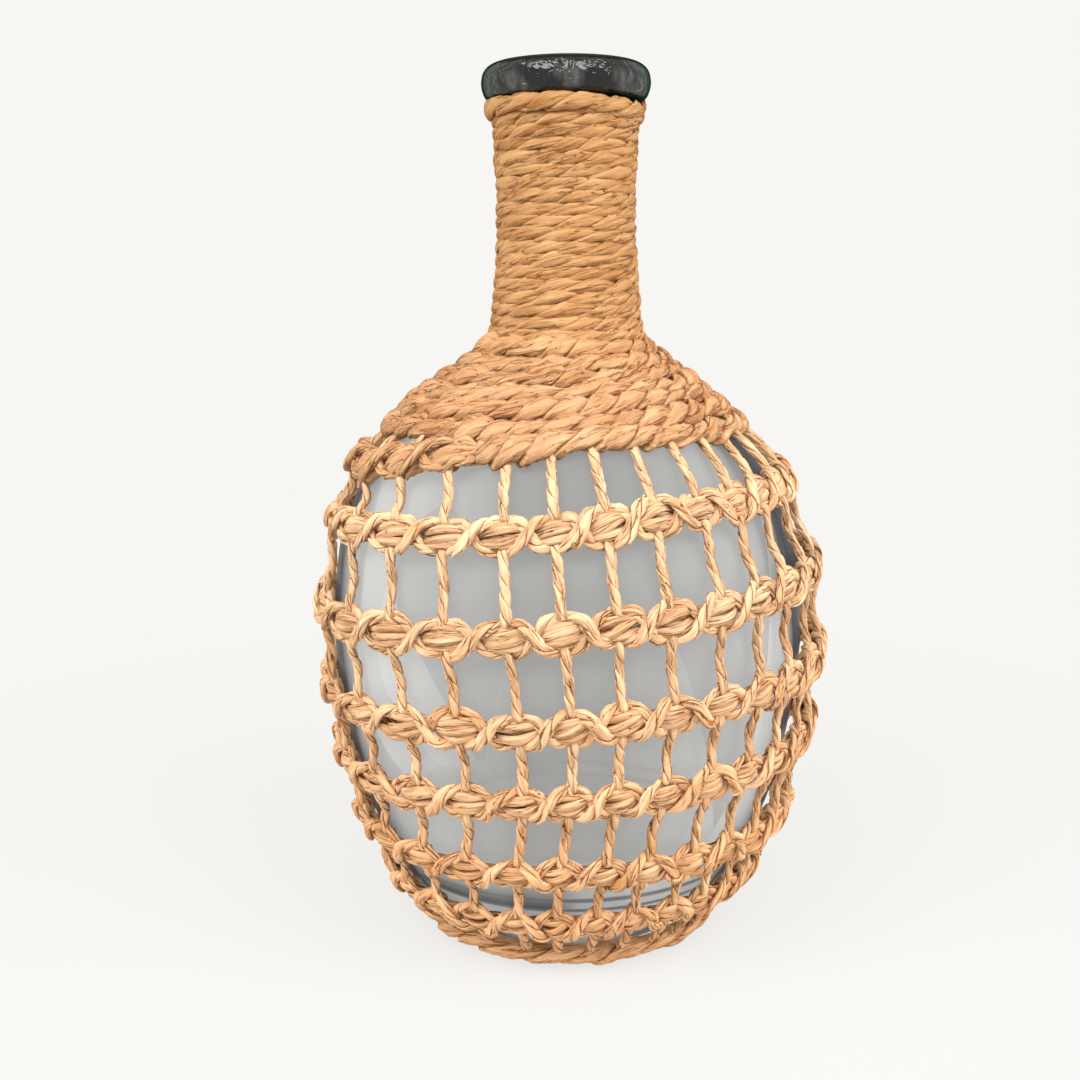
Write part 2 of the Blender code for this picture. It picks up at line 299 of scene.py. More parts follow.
def spinRope(spots, normals, look, random, closed=False, radius=None, tone=0.0, taper=0.0):
    # a laid rope along a path: a tube that turns as it runs, and is then crumpled and pressed flat
    basics = ropeBasics
    section, angles, grooves, plies = sections[look["kind"]]
    radius = np.full(len(spots), look["radius"]) if radius is None else radius
    if closed:
        spots = np.vstack([spots, spots[:1]])
        normals = np.vstack([normals, normals[:1]])
        radius = np.append(radius, radius[0])
    run = runAlong(spots)
    count = int(run[-1] / basics["grain"])
    places = np.linspace(0, run[-1], count, endpoint=not closed)
    path = resample(places, run, spots.T)
    out = resample(places, run, normals.T)
    out /= np.linalg.norm(out, axis=1)[:, None]
    swell = wander(places, basics["swellStep"], look["swell"], random, closed)
    girth = np.interp(places, run, radius) * (1 + swell)
    if taper:
        tip = np.minimum(places, run[-1] - places) / taper
        girth *= np.sqrt(np.clip(tip, basics["tipShare"], 1))
    turns = round(run[-1] / look["lay"]) if closed else run[-1] / look["lay"]
    tilt = -math.tau * turns * places / run[-1]
    tilt += wander(places, look["lay"] * basics["slipStep"], look["slip"], random, closed)
    mesh = sweepTube(path, girth, tilt, section, closed)

    corners = np.zeros(len(mesh.vertices) * 3)
    mesh.vertices.foreach_get("co", corners)
    rings = corners.reshape(count, len(angles), 3) - path[:, None]
    leaves = wander(places, basics["leafStep"], look["leaf"], random, closed, columns=2)[:, plies]
    ridges = wander(places, basics["ridgeStep"], look["ridge"], random, closed, columns=len(angles))
    rings *= (1 + leaves + ridges)[:, :, None]
    if closed:
        along = np.roll(path, -1, axis=0) - np.roll(path, 1, axis=0)
    else:
        along = np.gradient(path, axis=0)
    side = np.cross(along, out)
    side /= np.linalg.norm(side, axis=1)[:, None]
    outward = np.einsum("ijk,ik->ij", rings, out)
    sideways = np.einsum("ijk,ik->ij", rings, side)
    rings += ((look["flat"] - 1) * outward)[:, :, None] * out[:, None]
    rings += ((look["tall"] - 1) * sideways)[:, :, None] * side[:, None]
    mesh.vertices.foreach_set("co", (rings + path[:, None]).ravel())
    # painted shade in each ply's groove, as a share
    depths = grooves[None] + 0 * outward
    if look["kind"] == "strip":
        # a strip gets painted shade where it turns away from the front, beside its neighbours
        fall = basics["stripFall"] * outward / girth[:, None]
        depths = np.clip(basics["stripShade"] - fall, 0, 1)

    # what the paper's finish reads: a place along and round the rope, a tone, and how much painted shade
    # it gets where it lies deep
    spin = angles[None] + look["fibreTurn"] * tilt[:, None]
    lay = np.zeros((count, len(angles), 3))
    lay[:, :, 0] = places[:, None] + random.uniform(0, basics["fibreStart"])
    lay[:, :, 1] = np.cos(spin) * look["radius"]
    lay[:, :, 2] = np.sin(spin) * look["radius"]
    plyTones = random.uniform(-basics["plyTone"], basics["plyTone"], 2)[plies]
    drift = wander(places, basics["toneStep"], basics["toneSwing"], random, closed)
    tones = tone + drift[:, None] + plyTones[None]
    for title, values in (("tone", tones), ("groove", depths)):
        layer = mesh.attributes.new(title, "FLOAT", "POINT")
        layer.data.foreach_set("value", values.astype(np.float32).ravel())
    corner = np.zeros(len(mesh.loops), np.int32)
    mesh.loops.foreach_get("vertex_index", corner)
    lay = lay.reshape(-1, 3)[corner]
    if closed:
        # the faces that close the rope run on past its full length
        rings = (corner // len(angles)).reshape(-1, 4)
        joint = (rings == 0) & (rings.max(axis=1) == count - 1)[:, None]
        lay[joint.ravel(), 0] += run[-1]
    layer = mesh.attributes.new("lay", "FLOAT_VECTOR", "CORNER")
    layer.data.foreach_set("vector", lay.astype(np.float32).ravel())
    return mesh


def meshFrom(build, name):
    mesh = bpy.data.meshes.new(name)
    build.to_mesh(mesh)
    build.free()
    return mesh


def makePiece(name, meshes, finish, slot, *nodes):
    # several ropes become one named piece that stands for its solids
    build = bmesh.new()
    for mesh in meshes:
        build.from_mesh(mesh)
    loose = [edge for edge in build.edges if edge.is_boundary]
    if loose:
        bmesh.ops.holes_fill(build, edges=loose, sides=ropeBasics["endSides"])
    joined = meshFrom(build, name)
    for mesh in meshes:
        bpy.data.meshes.remove(mesh)
    placePiece(name, joined, [finish], slot, *nodes)


def placePiece(name, mesh, finishes, slot, *nodes):
    for finish in finishes:
        mesh.materials.append(finish)
    mesh.shade_smooth()
    piece = placeThing(name, mesh)
    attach(piece, "root")
    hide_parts(*nodes)


# Finishes

class Wire:
    # a socket that takes part in sums, as a number does
    def __init__(self, tree, socket):
        self.tree = tree
        self.socket = socket

    def sum(self, operation, first, second=None):
        step = self.tree.nodes.new("ShaderNodeMath")
        step.operation = operation
        for slot, value in zip(step.inputs, (first, second)):
            if isinstance(value, Wire):
                self.tree.links.new(value.socket, slot)
            elif value is not None:
                slot.default_value = value
        return Wire(self.tree, step.outputs[0])

    def __add__(self, other):
        return self.sum("ADD", self, other)

    def __sub__(self, other):
        return self.sum("SUBTRACT", self, other)

    def __mul__(self, other):
        return self.sum("MULTIPLY", self, other)

    def __abs__(self):
        return self.sum("ABSOLUTE", self)

    def most(self, other):
        return self.sum("MAXIMUM", self, other)

    __radd__ = __add__
    __rmul__ = __mul__


class Finish:
    # the nodes of a material, or of the world if it has no name
    def __init__(self, name=None):
        if name:
            self.material = bpy.data.materials.new(name)
            self.material.use_nodes = True
            self.tree = self.material.node_tree
        else:
            world = bpy.data.worlds.new("studioWorld")
            world.use_nodes = True
            bpy.context.scene.world = world
            self.tree = world.node_tree
        self.tree.nodes.clear()

    def node(self, kind, settings=None, sockets=None, output=0):
        step = self.tree.nodes.new("ShaderNode" + kind)
        for key, value in (settings or {}).items():
            setattr(step, key, value)
        for key, value in (sockets or {}).items():
            if isinstance(value, Wire):
                self.tree.links.new(value.socket, step.inputs[key])
            else:
                step.inputs[key].default_value = value
        return Wire(self.tree, step.outputs[output])

    def blend(self, share, first, second, how="MIX"):
        first, second = [(*value, 1.0) if isinstance(value, tuple) else value for value in (first, second)]
        settings = {"data_type": "RGBA", "blend_type": how}
        return self.node("Mix", settings, {0: share, 6: first, 7: second}, 2)

    def ramp(self, value, start, end, low=0.0, high=1.0):
        return self.node("MapRange", {"clamp": True}, {0: value, 1: start, 2: end, 3: low, 4: high})

    def place(self, axis=None):
        # where on the object a point is, as a vector or along one axis
        where = self.node("TexCoord", output=3)
        return where if axis is None else self.node("SeparateXYZ", None, {0: where}, axis)

    def facing(self):
        # 0 on the face that is looked at straight on, and 1 at its edge
        return self.node("LayerWeight", None, {"Blend": 0.5}, 1)

    def bump(self, height, strength, distance):
        return self.node("Bump", None, {"Strength": strength, "Distance": distance, "Height": height})

    def noise(self, place, scale, detail=2.0, rough=0.5, distortion=0.0):
        # scale is one number, or one for each axis
        if isinstance(scale, tuple):
            place = self.node("Mapping", None, {0: place, 3: scale})
            scale = 1.0
        return self.node("TexNoise", None, {"Vector": place, "Scale": scale, "Detail": detail,
                                            "Roughness": rough, "Distortion": distortion})

    def close(self, shader, kind="OutputMaterial"):
        end = self.tree.nodes.new("ShaderNode" + kind)
        self.tree.links.new(shader.socket, end.inputs[0])
        return self.material if kind == "OutputMaterial" else None


paper = {
    "light": (0.93, 0.645, 0.38),
    "middle": (0.755, 0.445, 0.24),
    "dark": (0.52, 0.248, 0.092),
    # the colour of the painted shade in creases and grooves
    "crease": (0.22, 0.078, 0.020),
    # scale, detail, roughness and distortion; the first three run along the rope
    "fibres": ((90.0, 1300.0, 1300.0), 4.0, 0.7),
    "folds": ((60.0, 480.0, 480.0), 3.0, 0.55, 0.6),
    "veins": ((40.0, 560.0, 560.0), 2.0, 0.5, 1.2),
    "patches": (60.0, 2.0),
    "breaks": (130.0, 1.0),
    # how much each counts for the lightness, and the sum that is middling
    "fibreShare": 1.5,
    "foldShare": 1.3,
    "patchShare": 0.6,
    "toneShare": 0.13,
    "middling": 1.7,
    "darkRamp": (0.1, 0.5),
    "lightRamp": (0.5, 0.9),
    # how wide a vein's painted crease line is, the folds it shows in, and the grooves that get painted
    # shade
    "lineRamp": (0.008, 0.022, 1.0, 0.0),
    "lineFolds": (0.54, 0.46),
    "grooveRamp": (0.4, 0.95, 0.0),
    "breakWidth": 0.12,
    "fibreRelief": 0.5,
    "foldRelief": 1.2,
    "lineRelief": 0.5,
    "bump": (1.0, 0.0011),
    "roughness": 0.8,
    "gloss": 0.1,
    # tint, contrast, painted crease shade, heights and tint of the painted light that changes with height,
    # and how whole its painted creases are
    "kinds": {
        "netPaper": ((0.98, 0.995, 1.02), 0.95, 1.0, (0.16, 0.04, (1.07, 0.97, 0.87)), 0.40),
        "rowPaper": ((0.725, 0.655, 0.60), 0.85, 0.8, (0.236, 0.257, (0.97, 0.95, 0.87)), 0.46),
        "neckPaper": ((0.665, 0.588, 0.459), 0.8, 0.55, (0.275, 0.350, (0.92, 0.90, 0.855)), 0.48),
        "ringPaper": ((1.09, 1.0, 0.90), 0.9, 0.8, None, 0.46),
    },
}


def paperFinish(name, tint, contrast, creases, paintedHeightLight, whole):
    paint = Finish(name)
    lay, groove, tone = [paint.node("Attribute", {"attribute_name": title}, output=socket)
                         for title, socket in (("lay", 1), ("groove", 2), ("tone", 2))]
    where = paint.place()
    fibres, folds, veins = [paint.noise(lay, *paper[kind]) for kind in ("fibres", "folds", "veins")]
    patches = paint.noise(where, *paper["patches"])
    mixed = fibres * paper["fibreShare"] + folds * paper["foldShare"] + patches * paper["patchShare"]
    level = 0.5 + contrast * (mixed + tone * paper["toneShare"] - paper["middling"])
    low = paint.blend(paint.ramp(level, *paper["darkRamp"]), paper["dark"], paper["middle"])
    colour = paint.blend(paint.ramp(level, *paper["lightRamp"]), low, paper["light"])
    # painted crease shade: thin dark lines where a vein changes side, and painted shade in the grooves,
    # both broken up
    line = paint.ramp(abs(veins - 0.5), *paper["lineRamp"]) * paint.ramp(folds, *paper["lineFolds"])
    broken = paint.ramp(paint.noise(where, *paper["breaks"]), whole - paper["breakWidth"], whole)
    shadow = paint.ramp(groove, *paper["grooveRamp"], creases) * broken
    colour = paint.blend(line * creases, colour, paper["crease"])
    colour = paint.blend(shadow, colour, paper["crease"])
    colour = paint.blend(1.0, colour, tint, "MULTIPLY")
    # painted light and shade by height: the net warmer and lighter low down, the rows shaded towards the
    # neck, the neck darker towards its top
    if paintedHeightLight:
        start, end, shade = paintedHeightLight
        paintedHeightLit = paint.blend(1.0, colour, shade, "MULTIPLY")
        colour = paint.blend(paint.ramp(paint.place(2), start, end), colour, paintedHeightLit)
    relief = fibres * paper["fibreRelief"] + folds * paper["foldRelief"] - line * paper["lineRelief"]
    shader = paint.node("BsdfPrincipled", None, {
        "Base Color": colour, "Roughness": paper["roughness"], "Specular IOR Level": paper["gloss"],
        "Normal": paint.bump(relief, *paper["bump"])})
    return paint.close(shader)


netPaper, rowPaper, neckPaper, ringPaper = [
    paperFinish(name, *look) for name, look in paper["kinds"].items()]
print("paper made")


# The glass bottle: a profile spun round

glassLook = {
    "grey": (0.080, 0.080, 0.079),
    # painted glow: an emitted grey, though the glass is no lamp, that keeps it evenly bright without
    # shadows
    "paintedGlow": (0.318, 0.318, 0.310),
    "edge": (0.035, 0.037, 0.04),
    "level": 0.97,
    # painted reflections: towards the sides the body is painted lighter, in facets
    "cells": {1: (0.3, 0.1, 0.4), 3: (17.0, 17.0, 8.0)},
    "sides": (0.018, 0.075),
    "sideLight": 0.27,
    "facetLight": 0.50,
    "clouds": (12.0, 1.0),
    "cloudLight": 0.06,
    # painted light low on the right, and painted shadow under the rows
    "lowHeights": (0.060, 0.046),
    "lowRight": (0.0, 0.010),
    "lowLight": 0.22,
    "topHeights": (0.180, 0.200),
    "topShade": 0.10,
    # its edge is painted dark where the glass is seen at a slant, and high on the right the painted dark
    # reaches further in
    "edgeFacing": (0.50, 0.80),
    "right": (0.0, 0.05),
    "rightHeights": (0.13, 0.17),
    "rightReach": 0.16,
    # painted refraction: the thick base is painted as a dark band on the left, and as thin dark lines all
    # round
    "bandTop": (0.0470, 0.0350, 0.0, 0.92),
    "bandFoot": (0.0318, 0.0335),
    "bandLeft": (0.002, -0.008),
    "baseLines": [(0.0330, 0.0012), (0.0385, 0.0016)],
    "lineCore": 0.4,
    "lineDark": 0.75,
    "waves": (20.0, 1.0),
    "waveBump": (0.15, 0.002),
    "cover": (0.2, 0.7, 0.86, 0.97),
    "roughness": 0.3,
    "ior": 1.09,
    "inside": {"Base Color": (0.35, 0.36, 0.355, 1.0), "Roughness": 0.05, "IOR": 1.3, "Alpha": 0.12},
}
lipLook = {
    "deep": (0.002, 0.002, 0.002),
    # painted reflection: pale streaks on the side that is looked at
    "reflectedGrey": (0.080, 0.078, 0.072),
    "streaks": ((130.0, 130.0, 30.0), 3.0, 0.6),
    "streakRamp": (0.50, 0.72),
    "streakFacing": (0.55, 0.25),
    "streakHeights": (0.3690, 0.3650),
    # green at the edges, a painted internal reflection, and brown along the top
    "green": (0.010, 0.024, 0.015),
    "greenFacing": (0.35, 0.75),
    "greenHeights": (0.3712, 0.3695),
    "top": (0.044, 0.037, 0.026),
    "topHeights": (0.3712, 0.3726, 0.0, 0.8),
    # ripples break up what the clear glass mirrors, and its edges and top mirror nothing
    "ripples": ((120.0, 120.0, 170.0), 2.0, 0.55, 1.6),
    "rippleBump": (1.0, 0.0012),
    "roughness": 0.05,
    "ior": 1.48,
    "dullRoughness": 0.5,
    "dullFacing": (0.5, 0.8),
    "dullHeights": (0.3700, 0.3715),
}


def bodyGlass():
    look = glassLook
    paint = Finish("bodyGlass")
    where = paint.place()
    across = paint.place(0)
    height = paint.place(2)
    cell = paint.node("Mapping", None, {0: where, **look["cells"]})
    facet = paint.node("TexVoronoi", None, {"Vector": cell, "Scale": 1.0}, 1)
    facet = paint.node("SeparateXYZ", None, {0: facet})
    side = paint.ramp(abs(across), *look["sides"])
    clouds = paint.noise(where, *look["clouds"])
    low = paint.ramp(height, *look["lowHeights"]) * paint.ramp(across, *look["lowRight"])
    # painted light on the glass: lighter facets at the sides, light low on the right, shadow under the
    # rows
    light = look["level"] + side * (facet * look["facetLight"] + look["sideLight"])
    light = light + clouds * look["cloudLight"] + low * look["lowLight"]
    shade = look["topShade"]
    light = light + paint.ramp(height, *look["topHeights"]) * (side * shade - shade)
    # painted dark edge, which reaches further in high on the right
    right = paint.ramp(across, *look["right"]) * paint.ramp(height, *look["rightHeights"])
    edge = paint.ramp(paint.facing() + right * look["rightReach"], *look["edgeFacing"])
    # painted refraction of the thick base: a dark band on the left and thin dark lines all round
    deep = paint.ramp(height, *look["bandTop"]) * paint.ramp(height, *look["bandFoot"])
    deep = deep * paint.ramp(across, *look["bandLeft"])
    dark = (edge * edge).most(deep)
    for middle, half in look["baseLines"]:
        start = half * look["lineCore"]
        dark = dark.most(paint.ramp(abs(height - middle), start, half, look["lineDark"], 0.0))
    level = paint.node("CombineXYZ", None, {0: light, 1: light, 2: light})
    shades = []
    # the painted light and dark go on both the base colour and the painted glow
    for colour in (look["grey"], look["paintedGlow"]):
        shade = paint.blend(1.0, colour, level, "MULTIPLY")
        shades.append(paint.blend(dark, shade, look["edge"]))
    waves = paint.noise(where, *look["waves"])
    shader = paint.node("BsdfPrincipled", None, {
        "Base Color": shades[0], "Emission Color": shades[1], "Emission Strength": 1.0,
        "Roughness": look["roughness"], "IOR": look["ior"],
        "Alpha": paint.ramp(paint.facing(), *look["cover"]),
        "Normal": paint.bump(waves, *look["waveBump"])})
    return paint.close(shader)


def innerGlass():
    paint = Finish("innerGlass")
    return paint.close(paint.node("BsdfPrincipled", None, glassLook["inside"]))


def lipGlass():
    look = lipLook
    paint = Finish("lipGlass")
    where = paint.place()
    height = paint.place(2)
    facing = paint.facing()
    # painted reflection: pale streaks where the lip faces the front, high on its side
    streaks = paint.ramp(paint.noise(where, *look["streaks"]), *look["streakRamp"])
    reflectedShare = paint.ramp(facing, *look["streakFacing"]) * streaks
    reflectedShare = reflectedShare * paint.ramp(height, *look["streakHeights"])
    colour = paint.blend(reflectedShare, look["deep"], look["reflectedGrey"])
    # painted internal reflection: green at the edges
    green = paint.ramp(facing, *look["greenFacing"]) * paint.ramp(height, *look["greenHeights"])
    colour = paint.blend(green, colour, look["green"])
    colour = paint.blend(paint.ramp(height, *look["topHeights"]), colour, look["top"])
    ripples = paint.noise(where, *look["ripples"])
    clear = paint.node("BsdfPrincipled", None, {
        "Base Color": colour, "Roughness": look["roughness"], "IOR": look["ior"],
        "Normal": paint.bump(ripples, *look["rippleBump"])})
    dull = paint.node("BsdfPrincipled", None, {
        "Base Color": colour, "Roughness": look["dullRoughness"], "Specular IOR Level": 0.0})
    share = paint.ramp(facing, *look["dullFacing"]).most(paint.ramp(height, *look["dullHeights"]))
    return paint.close(paint.node("MixShader", None, {0: share, 1: clear, 2: dull}))


def makeBottle():
    body, lip = glassOutline()
    outer = softLine(body, bottle["outerSteps"])
    lipLine = softLine([body[-1]] + lip, bottle["lipSteps"])
    neckTop = bottle["height"] - bottle["lipHeight"]
    lane = Lane(-bottle["wall"])
    start = lane.lengthAt(bottle["floor"] + bottle["wall"])
    lengths = np.linspace(start, lane.lengthAt(neckTop), bottle["innerSteps"])
    inner = resample(lengths, lane.lengths, (lane.radii, lane.heights))
    bend = (inner[-1][0] + bottle["mouthOut"], bottle["height"] - bottle["mouthDrop"])
    mouth = softLine([tuple(inner[-1]), bend, tuple(lipLine[-1])], bottle["mouthSteps"])
    reach, low = inner[0]
    near, far = bottle["floorShares"]
    floor = softLine([(0.0, bottle["floor"]), (reach * near, bottle["floor"]),
                      (reach * far, bottle["floor"] + bottle["floorRise"]), (reach, low)],
                     bottle["floorSteps"])
    near, deep = bottle["puntShares"]
    under = softLine([(0.0, bottle["puntDepth"]), (bottle["punt"] * near, bottle["puntDepth"] * deep),
                      (bottle["punt"], bottle["puntEdge"]), (bottle["punt"] + bottle["baseFlat"], 0.0),
                      (bottle["base"] - bottle["baseFlat"], 0.0), tuple(outer[0])], bottle["underSteps"])
    outside = np.vstack([under[:-1], outer[:-1], lipLine])
    inside = np.vstack([floor, inner[1:], mouth[1:-1]])
    build = bmesh.new()
    for line, index in ((outside, 0), (inside, 1)):
        corners = [build.verts.new((radius, 0.0, height)) for radius, height in line]
        edges = [build.edges.new(pair) for pair in zip(corners, corners[1:])]
        bmesh.ops.spin(build, geom=corners + edges, cent=(0, 0, 0), axis=(0, 0, 1), angle=math.tau,
                       steps=bottle["spinSteps"], use_merge=True, use_duplicate=False)
        for face in build.faces:
            if not face.tag:
                atLip = face.calc_center_median().z > neckTop - bottle["lipSeam"]
                face.material_index = 2 if atLip else index
            face.tag = True
    bmesh.ops.remove_doubles(build, verts=build.verts, dist=drawing["mergeDistance"])
    rims = [edge for edge in build.edges if edge.is_boundary]
    for face in bmesh.ops.bridge_loops(build, edges=rims)["faces"]:
        face.material_index = 2
    bmesh.ops.recalc_face_normals(build, faces=build.faces)
    mesh = meshFrom(build, "glassBottle")
    placePiece("glassBottle", mesh, [bodyGlass(), innerGlass(), lipGlass()], "glass", "glass_bottle")


makeBottle()
print("glass spun")


# The shoulder's rows, and the wrap that fills the neck above them

shoulderRows = {
    "seed": 40,
    "lane": 0.0034,
    "start": 0.0168,
    "pitch": 0.0088,
    "lean": 0.0075,
    "count": 7,
    # how far the last row hangs below its even place, by degrees
    "dropPlaces": [-180, -140, -105, -64, -45, -30, -20, -7, 9, 24, 38, 60, 95, 130, 180],
    "drops": [0.0, 0.003, 0.010, 0.012, 0.0070, 0.0038, 0.0020, 0.0004, -0.0004, 0.0006, 0.0028, 0.0035,
              0.005, 0.003, 0.0],
    "nextDrops": [0.0, 0.0, 0.0, 0.0, 0.0018, 0.0022, 0.0020, 0.0010, 0.0012, 0.0005, 0.0014, 0.001,
                  0.001, 0.0, 0.0],
    # how thick each row is, how much thicker where the rows spread, and how far it strays
    "girths": [1.00, 1.08, 1.06, 1.06, 1.06, 1.10, 1.20],
    "spread": 0.14,
    "sinks": [0.0004] + [0.0] * 6,
    "stray": (0.24, 0.0008),
    "lastStray": (0.24, 0.0004),
    "depthStray": (0.2, 0.0004),
    "tones": (-0.3, 0.3),
    # how many uprights cross the last row in eyes, and how the row and its lacings lie there
    "eyes": 4,
    "eyePinch": 0.72,
    "eyeSwell": 0.42,
    "eyeBulge": 0.0026,
    "eyeRise": 0.0054,
    "eyeOut": 0.0026,
    "eyeTuck": 0.25,
    "tuckOut": 0.001,
    "eyeTone": 0.3,
    "taper": 0.002,
    "rope": {"kind": "2ply", "radius": 0.0038, "lay": 0.025, "swell": 0.14, "slip": 0.9, "leaf": 0.30,
             "ridge": 0.14, "flat": 0.84, "tall": 1.37, "fibreTurn": 0.7},
}
neckWrap = {
    "seed": 5,
    "out": 0.0028,
    "tuck": 0.0012,
    "turns": 19,
    "level": 0.26,
    "clearOfRow": 0.0038,
    "topStep": 0.0020,
    "topArch": 0.0008,
    "proudTurns": 1.3,
    "proudGirth": 0.12,
    "stray": (0.13, 0.00025),
    "taper": 0.004,
    "samples": 6000,
    "rope": {"kind": "2ply", "radius": 0.00222, "lay": 0.028, "swell": 0.08, "slip": 0.9, "leaf": 0.18,
             "ridge": 0.08, "flat": 0.88, "tall": 1.60, "fibreTurn": 0.6},
}
rowLane = Lane(shoulderRows["lane"])


def rowMiddle(row, angle):
    # along the rows' lane, from the foot of the neck down, leaning up towards +X
    last = shoulderRows["count"] - 1
    start = rowLane.lengthAt(bottle["neckFoot"]) - shoulderRows["start"]
    place = start - shoulderRows["pitch"] * row + shoulderRows["lean"] * row / last * np.sin(angle)
    if row >= last - 1:
        turn = (np.degrees(angle) + 180) % 360 - 180
        drops = shoulderRows["drops"] if row == last else shoulderRows["nextDrops"]
        place = place - np.interp(turn, shoulderRows["dropPlaces"], drops)
    return place


def makeNeckWrap():
    random = np.random.RandomState(neckWrap["seed"])
    lane = Lane(neckWrap["out"])
    rope = neckWrap["rope"]
    top = lane.lengthAt(bottle["height"] - bottle["lipHeight"] + neckWrap["tuck"] - rope["radius"])
    end = lane.nearest(*rowLane.spot(rowMiddle(0, 0.0), 0.0)) + neckWrap["clearOfRow"]
    # both ends run level for part of a turn
    turns = np.linspace(-neckWrap["level"], neckWrap["turns"] + neckWrap["level"], neckWrap["samples"])
    length = np.clip(top - (top - end) * turns / neckWrap["turns"], end, top)
    length += wander(turns, *neckWrap["stray"], random)
    # the first turn stands proud of the rest, and rises at the front
    proud = np.clip(neckWrap["proudTurns"] - turns, 0, 1)
    length = length - neckWrap["topArch"] * np.cos(math.tau * turns) * proud
    spots, normals = lane.place(length, math.pi + math.tau * turns, neckWrap["topStep"] * proud)
    girth = rope["radius"] * (1 + neckWrap["proudGirth"] * proud)
    mesh = spinRope(spots, normals, rope, random, radius=girth, taper=neckWrap["taper"])
    makePiece("neckWrap", [mesh], neckPaper, "neck_rope", "neck_wrap")


makeNeckWrap()
print("neck wound")


# The net of uprights and laced bands

net = {
    "bandSeed": 100,
    "heightShares": [0.702, 0.570, 0.440, 0.326, 0.208, 0.112],
    "lean": 0.0095,
    "leanShares": [0.86, 0.92, 0.86, 0.63, 0.24, 0.28],
    "frontAngles": [-75.0, -57.0, -41.3, -26.9, -13.0, -1.8, 9.6, 20.8, 32.8, 43.8, 54.4, 65.6],
    "backCount": 16,
    "stray": 5.0,
    "turnShares": [-0.90, -0.40, -0.06, 0.26, 0.20, -0.30, -0.60, -0.60],
    "sideShares": [1.00, 0.00, -0.20, -0.70, -1.10, -0.70, -0.40, 0.00],
    "seamPost": 20,
    # how far apart a band's swings are, in uprights, and how big
    "bandStray": (1.0, 0.0007),
    # how far the net hangs off the glass, and the heights that this grows and shrinks over
    "slack": 0.0032,
    "slackFoot": 0.02,
    "slackGrowth": 0.05,
    "slackTop": 0.20,
    "slackFall": 0.09,
    "slackPower": 1.5,
}
core = {
    "halfHeight": 0.0053,
    "halfDepth": 0.0026,
    "pinchShare": 0.44,
    "eyeOut": 0.0057,
    "pinchOut": 0.0022,
    # how full and how far out the core is between its eyes and its pinches
    "fullPower": 0.8,
    "outPower": 0.9,
    "rock": (0.86, 1.12),
    # its strands wind round each other, once past five uprights, and sway
    "strands": 6,
    "postsPerTurn": 5,
    "sway": 0.5,
    "sways": 5,
    "swayStray": (0.8, 0.5),
    "acrossShare": 0.66,
    "deepShare": 0.5,
    "stripShare": 0.37,
    "tones": (-0.5, 0.6),
    "strip": {"kind": "strip", "radius": 0.0020, "lay": 0.20, "swell": 0.16, "slip": 0.8, "leaf": 0.0,
              "ridge": 0.10, "flat": 0.70, "tall": 1.06, "fibreTurn": 1.0},
}
lacing = {
    "rise": 0.0060,
    "steep": 1.9,
    "arcOut": 0.0030,
    "underOut": 0.0059,
    "overOut": 0.0083,
    "humpPower": 1.2,
    "overGirth": 0.24,
    "underGirth": 0.08,
    "overChance": 0.7,
    "stray": (0.5, 0.0004),
    "tones": (0.0, 0.8),
    "rope": {"kind": "2ply", "radius": 0.0018, "lay": 0.018, "swell": 0.12, "slip": 0.9, "leaf": 0.16,
             "ridge": 0.10, "flat": 0.72, "tall": 1.26, "fibreTurn": 0.8},
}
upright = {
    "seed": 200,
    "overOut": 0.0050,
    "underOut": 0.0022,
    "restOut": 0.0027,
    "headGap": 0.002,
    "headOut": 0.0018,
    "footGap": 0.004,
    "footOut": 0.0045,
    # down over a band's upper lacing, under its core and over its lower lacing
    "crossing": [(1.0, "overOut"), (0.45, "underOut"), (-0.45, "underOut"), (-1.0, "overOut")],
    "angleReach": 60,
    "angleStray": (0.03, 0.007),
    "tones": (0.3, 1.2),
    "taper": 0.002,
    "samples": 1500,
    "rope": {"kind": "2ply", "radius": 0.00205, "lay": 0.0150, "swell": 0.07, "slip": 0.7, "leaf": 0.10,
             "ridge": 0.06, "flat": 0.88, "tall": 1.08, "fibreTurn": 0.8},
}


def postAngles(stop):
    # where the uprights stand at the shoulder, at a band or at the heel
    first, last = net["frontAngles"][0], net["frontAngles"][-1]
    spacing = (first + 360 - last) / (net["backCount"] + 1)
    angles = np.array(net["frontAngles"] + [last + spacing * (k + 1) for k in range(net["backCount"])])
    sideways = net["turnShares"][stop] + net["sideShares"][stop] * np.sin(np.radians(angles))
    return np.radians(angles + net["stray"] * sideways)


def bandMiddle(band, angle):
    lean = net["lean"] * net["leanShares"][band] * np.sin(angle)
    return skin.lengthAt(bottle["neckFoot"] * net["heightShares"][band] + lean)


def slack(length, angle):
    # how much looser the net hangs low on the right
    height = np.interp(length, skin.lengths, skin.heights)
    low = np.clip((height - net["slackFoot"]) / net["slackGrowth"], 0, 1)
    low = low * np.clip((net["slackTop"] - height) / net["slackFall"], 0, 1)
    return net["slack"] * low * np.clip(np.sin(angle), 0, 1) ** net["slackPower"]


def laceStrand(steps, sign, rise, out, over):
    # one of two strands that swing above and below a core, and cross between the uprights
    swing = np.cos(math.pi * steps)
    crossing = np.sin(math.pi * steps)
    shift = sign * rise * np.tanh(lacing["steep"] * swing) / math.tanh(lacing["steep"])
    rising = sign * over * crossing < 0
    hump = np.abs(crossing) ** lacing["humpPower"]
    cross = out + np.where(rising, lacing["overOut"], lacing["underOut"])
    thicker = np.where(rising, lacing["overGirth"], lacing["underGirth"])
    radius = lacing["rope"]["radius"] * (1 + thicker * hump)
    arc = out + lacing["arcOut"]
    return shift, arc + (cross - arc) * hump, radius


